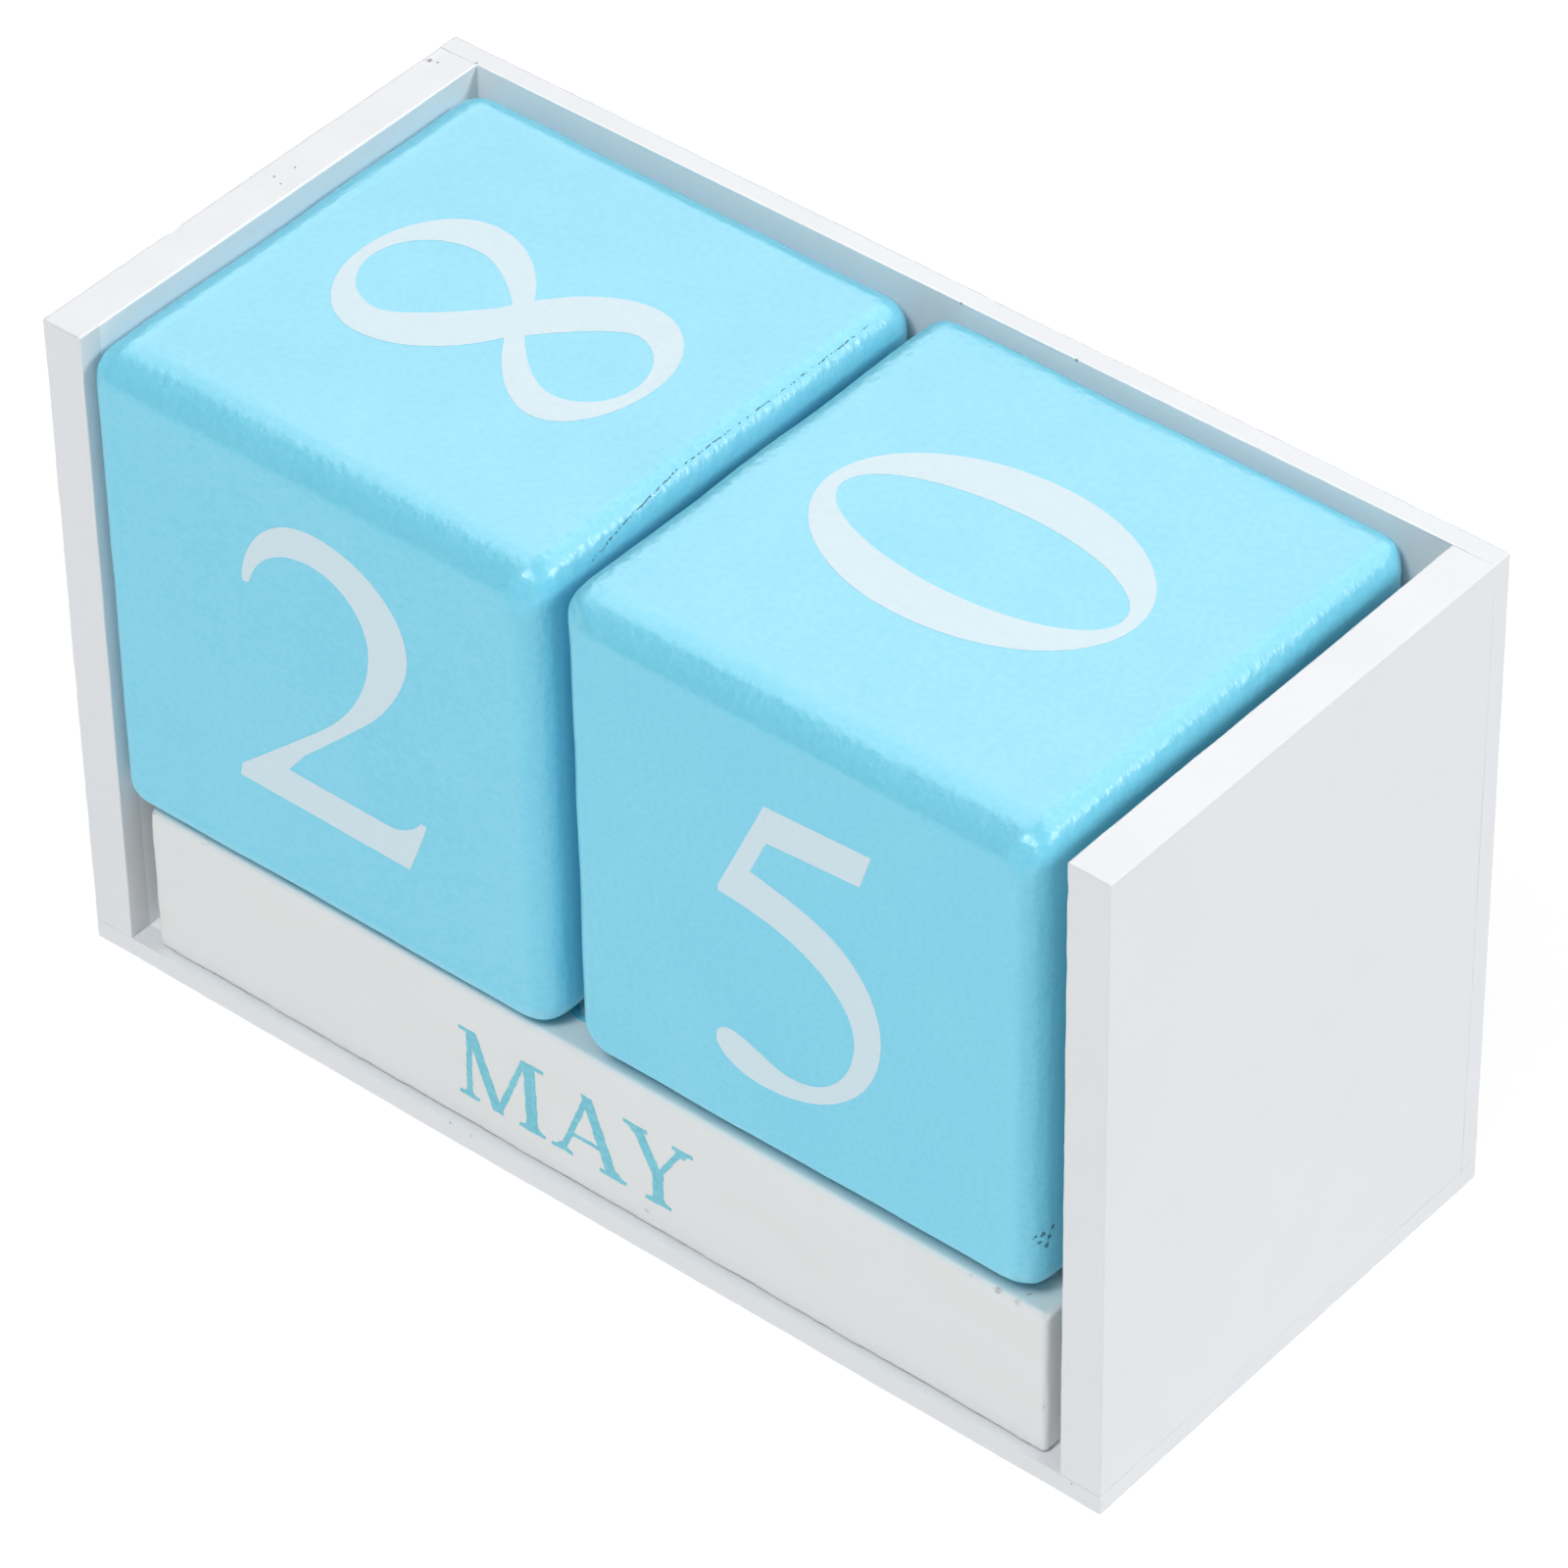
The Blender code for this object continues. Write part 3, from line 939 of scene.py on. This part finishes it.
def cube_widths(low, high, radii):
    """A function that gives the three rounding widths near a point: those of the edges that it
    is nearest to, mixed towards the corners."""
    table = edge_table(radii)

    def widths(spot):
        nearest = []
        for axis in range(3):
            gaps = (spot[axis] - low[axis], high[axis] - spot[axis])
            side = 0 if gaps[0] < gaps[1] else 1
            nearest.append(((axis, side), gaps[side] + CORNER_BLEND))
        result = []
        for axis, (mine, _) in enumerate(nearest):
            (one, near_one), (two, near_two) = nearest[:axis] + nearest[axis + 1:]
            by_one = table.get((mine, one), PLAIN_RADIUS) * near_two ** 2
            by_two = table.get((mine, two), PLAIN_RADIUS) * near_one ** 2
            result.append((by_one + by_two) / (near_one ** 2 + near_two ** 2))
        return result
    return widths


def cube_shape(front, seed):
    """Hand-sanded roundings that wander a little, and a front planed flat."""
    def shape(point, outward, into_rounding):
        wander = min(1.0, WANDER_GAIN * into_rounding)
        push = lump(point, *CUBE_EDGE_WAVES, seed) * wander
        push += lump(point, *CUBE_EDGE_RIPPLES, seed + 4) * wander
        moved = point + outward * push
        moved.y = max(moved.y, front)
        return moved
    return shape


def make_cube(node, body, material, numeral_material, seed):
    """A painted cube and the numerals on its six faces."""
    low, high = box_mm(node)
    centre = (low + high) / 2
    half = (high.x - low.x) / 2
    low += Vector(CUBE_SETTLED[node])
    front = low.y
    low.y -= CUBE_PLANED[node]
    insets = ((WIDEST_ROUNDING, WIDEST_ROUNDING),) * 3
    points, faces = rounded_block(
        low, high, insets, CUBE_SPACING, steps=10, exponent=CUBE_EXPONENT,
        widths=cube_widths(low, high, EDGE_RADII[node]), shape=cube_shape(front, seed),
    )
    new_piece(f"painted_{node}", points, faces, material, "light_blue_paint", body, node)
    face_gap = {tuple(-Y): front - (centre.y - half), tuple(-Z): low.z - (centre.z - half)}
    for index, (outward, up, digit, (east, north)) in enumerate(CUBE_FACES[node]):
        right = up.cross(outward)
        corner, far = extent(DIGITS[digit][0])
        middle = (corner + far) / 2
        move = (east - middle.x, north - middle.y)
        ink, holes = [
            [ragged(loop, CUBE_RAGGED, seed + index) for loop in shifted(outlines, *move)]
            for outlines in DIGITS[digit]
        ]
        reach = half - face_gap.get(tuple(outward), 0.0)
        points, faces = film_mesh(ink, holes, on_face(centre + outward * reach, right, up))
        name = f"{body}_numeral_{digit}"
        new_piece(name, points, faces, numeral_material, "white_paint", body, smooth=False)


# ---------------------------------------------------------------- month bars

BAR_ROUNDING = 0.65
BAR_CLEARANCE = 0.10
BAR_SPACING = 1.0
BAR_EXPONENT = 2.3
BAR_EDGE_WAVES = (5.0, 0.10)
BAR_EDGE_RIPPLES = (1.3, 0.09)
MONTH_RAGGED = 0.11
MONTH_CENTRE = -0.85
MONTH_RISE = -0.65
BAR_MONTHS = {
    "front_month_bar": ("MAY", "JUN", "JUL", "AUG"),
    "middle_month_bar": ("JAN", "FEB", "MAR", "APR"),
    "rear_month_bar": ("SEP", "OCT", "NOV", "DEC"),
}
BAR_DENTS = (
    ((-49.0, -25.2, 17.9), 1.0, 0.30),
    ((-43.3, -25.2, 18.0), 1.2, 0.22),
    ((-30.5, -25.2, 18.0), 0.9, 0.12),
    ((42.2, -25.2, 18.0), 1.0, 0.16),
    ((47.1, -25.2, 18.0), 1.1, 0.26),
    ((50.3, -25.1, 18.0), 0.7, 0.35),
    ((50.3, -25.1, 12.0), 0.8, 0.18),
    ((50.3, -25.1, 7.5), 0.7, 0.20),
)


def bar_shape(seed):
    """Sawn and lightly sanded edges, with knocks along the front bar."""
    def shape(point, outward, into_rounding):
        push = lump(point, *BAR_EDGE_WAVES, seed) * into_rounding
        push += lump(point, *BAR_EDGE_RIPPLES, seed + 3) * into_rounding
        push -= sum(dent(point, *place) for place in BAR_DENTS)
        return point + outward * push
    return shape


def word_outlines(word):
    """The outlines of a word, its middle at x = 0 and its baseline at y = 0."""
    solids, hollows = [], []
    cursor = 0.0
    for index, letter in enumerate(word):
        width, ink, holes = LETTERS[letter]
        solids += shifted(ink, cursor, 0)
        hollows += shifted(holes, cursor, 0)
        cursor += width + LETTER_GAP + KERNING.get(word[index:index + 2], 0.0)
    low, high = extent(solids)
    middle = (low.x + high.x) / 2
    return shifted(solids, -middle, 0), shifted(hollows, -middle, 0)


def make_bar(node, body, material, month_material, seed):
    """A painted bar and the month names on its four long faces."""
    low, high = box_mm(node)
    low.z -= CONTACT_GAP - BAR_CLEARANCE
    insets = ((BAR_ROUNDING, BAR_ROUNDING),) * 3
    points, faces = rounded_block(
        low, high, insets, BAR_SPACING, exponent=BAR_EXPONENT, shape=bar_shape(seed)
    )
    new_piece(f"painted_{node}", points, faces, material, "bar_white_paint", body, node)
    centre = (low + high) / 2
    move = (MONTH_CENTRE - centre.x, MONTH_RISE - CAP_HEIGHT / 2)
    turned = ((-Y, Z), (Z, Y), (Y, -Z), (-Z, -Y))
    for index, (word, (outward, up)) in enumerate(zip(BAR_MONTHS[node], turned)):
        half = (high.y - low.y) / 2 if outward.z == 0 else (high.z - low.z) / 2
        ink, holes = [
            [ragged(loop, MONTH_RAGGED, seed + index) for loop in shifted(outlines, *move)]
            for outlines in word_outlines(word)
        ]
        points, faces = film_mesh(ink, holes, on_face(centre + outward * half, X, up))
        name = f"{body}_month_{word}"
        new_piece(name, points, faces, month_material, "light_blue_paint", body, smooth=False)


# ---------------------------------------------------------------- studio

# In metres. The lamps stand at one distance from the point they face.
AIM = Vector((0.0, 0.0, 0.033))
LIGHT_DISTANCE = 1.9
# Each softbox: its name, azimuth, elevation, size, radiance and whether it is gloss_only.
SOFTBOXES = (
    ("back_softbox", 220, 42, 0.42, 4.6, True),
    ("back_right_panel", 164, 48, 0.66, 3.5, True),
    ("back_middle_panel", 194, 49, 0.32, 3.5, True),
    ("back_left_panel", 242, 56, 0.30, 3.0, True),
    ("overhead_panel", 262, 68, 0.46, 2.8, True),
    ("front_key", 4, 58, 0.24, 18.0, False),
    ("camera_side_fill", 16, 62, 0.50, 3.6, False),
    ("right_key", 122, 39, 0.26, 21.0, False),
)
SURROUND_STRENGTH = 0.10
FLOOR_GLOW = 0.82
FLOOR_REACH = 4.0
LENS = 188.06
CAMERA_PLACE = (0.34397, -0.40035, 0.48630)
CAMERA_ANGLES = (49.2271, 0.7475, 39.8856)


def direction(azimuth, elevation):
    """A unit vector. Azimuth 0 is straight in front, and 90 is at the right."""
    azimuth, elevation = math.radians(azimuth), math.radians(elevation)
    return Vector((
        math.sin(azimuth) * math.cos(elevation),
        -math.cos(azimuth) * math.cos(elevation),
        math.sin(elevation),
    ))


def add_softbox(name, azimuth, elevation, size, radiance, gloss_only):
    """A square area light that faces the object. Its size is as seen from one metre, and its
    radiance is what a mirror would show of it. A gloss_only light is seen in reflections and
    lights nothing else."""
    light = bpy.data.lights.new(name, "AREA")
    light.shape = "SQUARE"
    light.size = size * LIGHT_DISTANCE
    light.energy = radiance * math.pi * light.size ** 2
    lamp = bpy.data.objects.new(name, light)
    towards = direction(azimuth, elevation)
    lamp.location = AIM + towards * LIGHT_DISTANCE
    lamp.rotation_euler = towards.to_track_quat("Z", "Y").to_euler()
    lamp.visible_camera = False
    lamp.visible_diffuse = not gloss_only
    bpy.context.scene.collection.objects.link(lamp)


def add_studio():
    """Lights, a plain pale floor and a pale surround."""
    for softbox in SOFTBOXES:
        add_softbox(*softbox)

    world = bpy.data.worlds.new("pale_surround")
    world.use_nodes = True
    background = world.node_tree.nodes["Background"]
    background.inputs["Color"].default_value = rgba(1, 1, 1)
    background.inputs["Strength"].default_value = SURROUND_STRENGTH
    bpy.context.scene.world = world

    paint = Paint("pale_floor", roughness=0.9, specular=0.1)
    material = paint.finish(paint.mix(paint.noise(size=180.0), FLOOR_DARK, FLOOR_LIGHT))
    paint.shader.inputs["Emission Color"].default_value = rgba(1, 1, 1)
    paint.shader.inputs["Emission Strength"].default_value = FLOOR_GLOW
    mesh = bpy.data.meshes.new("floor")
    corners = slab(-FLOOR_REACH, FLOOR_REACH, -FLOOR_REACH, FLOOR_REACH)
    mesh.from_pydata([corner.to_3d() for corner in corners], [], [(0, 1, 2, 3)])
    mesh.materials.append(material)
    floor = bpy.data.objects.new("floor", mesh)
    bpy.context.scene.collection.objects.link(floor)


def add_camera():
    """A long lens from above the right front corner."""
    camera = bpy.data.cameras.new("camera")
    camera.sensor_width = 36.0
    camera.lens = LENS
    camera.clip_start = 0.01
    camera.clip_end = 20.0
    holder = bpy.data.objects.new("camera", camera)
    holder.location = CAMERA_PLACE
    holder.rotation_euler = Euler([math.radians(angle) for angle in CAMERA_ANGLES])
    bpy.context.scene.collection.objects.link(holder)
    bpy.context.scene.camera = holder


# ---------------------------------------------------------------- the calendar

NUMERAL_ROUGHNESS = 0.36
MONTH_ROUGHNESS = 0.45
FIRST_BAR_SEED = 31
# Marks in the paint, each at a place and with a radius.
TRAY_SPECKS = (
    ((-55.2, 0.9, 69.2), 0.16),
    ((-54.7, 2.95, 69.2), 0.12),
    ((-54.1, 0.5, 69.2), 0.10),
    ((-56.2, 21.9, 69.1), 0.28),
    ((-55.5, 22.1, 69.2), 0.16),
    ((-52.7, 24.15, 69.2), 0.14),
    ((1.6, 23.95, 69.1), 0.16),
    ((13.9, 23.95, 69.1), 0.20),
    ((56.8, -26.0, 20.6), 0.12),
    ((53.8, -26.05, 1.8), 0.12),
    ((-14.7, -26.05, 2.0), 0.14),
    ((-12.3, -26.05, 1.9), 0.12),
)
BAR_WORN = (
    ((-49.2, -25.3, 17.9), 0.8),
    ((-43.4, -25.3, 18.0), 0.7),
    ((-30.5, -25.3, 18.0), 0.4),
    ((42.2, -25.3, 18.0), 0.5),
    ((45.2, -24.9, 18.0), 0.4),
    ((47.1, -25.3, 17.9), 0.6),
    ((50.4, -25.2, 18.0), 0.5),
    ((47.5, -23.9, 18.1), 0.22),
    ((50.2, -25.3, 12.0), 0.5),
    ((50.2, -25.3, 7.5), 0.5),
    ((7.2, -25.2, 4.1), 0.4),
)
CUBE_PITS = (
    ((48.9, -23.9, 25.9), 0.36),
    ((49.1, -23.4, 25.3), 0.34),
    ((48.7, -24.3, 25.0), 0.30),
    ((49.0, -23.6, 24.4), 0.36),
    ((48.5, -24.6, 25.7), 0.26),
    ((49.1, -23.1, 26.1), 0.28),
)
CRACK_RUNS = (
    ((-3.7, 18.2), (-3.7, -6.4), 68.1),
    ((-3.7, -6.4), (-2.5, -18.9), 68.1),
)


def main():
    """Build the calendar and the studio."""
    add_camera()
    add_studio()
    make_tray(tray_paint(TRAY_SPECKS))
    numeral = film_paint("numeral_white_film", NUMERAL_WHITE, NUMERAL_SHADE, NUMERAL_ROUGHNESS)
    month = film_paint("month_blue_film", MONTH_BLUE, MONTH_DEEP, MONTH_ROUGHNESS)
    cubes = (
        ("left_number_cube", "left_cube", CRACK_RUNS, (), 11),
        ("right_number_cube", "right_cube", (), CUBE_PITS, 23),
    )
    for node, body, cracks, marks, seed in cubes:
        low, high = box_mm(node)
        flat_half = (high.x - low.x) / 2 - PLAIN_RADIUS
        material = cube_paint(f"{body}_blue_paint", (low + high) / 2, flat_half, cracks, marks)
        make_cube(node, body, material, numeral, seed)
    wood = bar_paint(BAR_WORN)
    for seed, node in enumerate(BAR_MONTHS, FIRST_BAR_SEED):
        make_bar(node, node.replace("_month_bar", "_bar"), wood, month, seed)
    steel = pin_metal()
    for name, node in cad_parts.items():
        if "_pin_" in name:
            node.data.materials.clear()
            node.data.materials.append(steel)
    bpy.context.scene.view_settings.view_transform = "Standard"


main()
